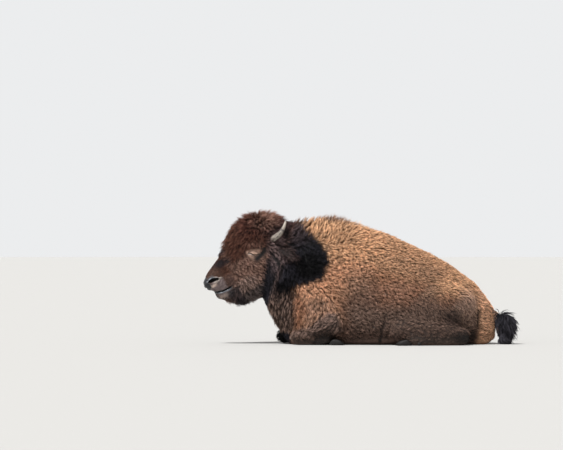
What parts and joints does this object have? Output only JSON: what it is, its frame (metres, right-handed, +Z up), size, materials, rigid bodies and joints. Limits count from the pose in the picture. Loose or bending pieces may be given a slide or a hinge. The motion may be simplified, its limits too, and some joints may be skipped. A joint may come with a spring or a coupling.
{
  "type": "bison",
  "caption": "Young plains bison lying at rest with folded legs and closed eyes, life size, as a still museum model.",
  "frame": {"origin": "on the floor under the middle of the trunk, in the animal's mid-plane", "axes": "-X is the way the head faces, -Y is the animal's left side, +Z is up"},
  "size_m": [1.8225, 0.7026, 0.7857],
  "materials": {
    "hair_tan": "woolly tan hair",
    "hair_brown": "woolly brown hair",
    "hair_dark": "long dark brown hair",
    "hair_black": "long black hair",
    "horn": "satin grey horn",
    "hoof": "dull dark hoof horn",
    "eye": "wet dark eye"
  },
  "bodies": {
    "root": {"ear_left": "hair_dark", "ear_right": "hair_dark", "eye_left": "eye", "eye_right": "eye", "foreleg_left_cannon": "hair_dark", "foreleg_left_claw_inner": "hoof", "foreleg_left_claw_outer": "hoof", "foreleg_left_dewclaw_inner": "hoof", "foreleg_left_dewclaw_outer": "hoof", "foreleg_left_forearm": "hair_brown", "foreleg_left_upper": "hair_brown", "foreleg_right_cannon": "hair_dark", "foreleg_right_claw_inner": "hoof", "foreleg_right_claw_outer": "hoof", "foreleg_right_dewclaw_inner": "hoof", "foreleg_right_dewclaw_outer": "hoof", "foreleg_right_forearm": "hair_brown", "foreleg_right_upper": "hair_brown", "head": "hair_dark", "hindleg_left_cannon": "hair_dark", "hindleg_left_claw_inner": "hoof", "hindleg_left_claw_outer": "hoof", "hindleg_left_dewclaw_inner": "hoof", "hindleg_left_dewclaw_outer": "hoof", "hindleg_left_shank": "hair_brown", "hindleg_left_thigh": "hair_brown", "hindleg_right_cannon": "hair_dark", "hindleg_right_claw_inner": "hoof", "hindleg_right_claw_outer": "hoof", "hindleg_right_dewclaw_inner": "hoof", "hindleg_right_dewclaw_outer": "hoof", "hindleg_right_shank": "hair_brown", "hindleg_right_thigh": "hair_brown", "horn_left": "horn", "horn_right": "horn", "lower_jaw": "hair_dark", "neck": "hair_dark", "tail": "hair_tan", "tail_tuft": "hair_black", "trunk": "hair_tan"}
  },
  "joints": []
}
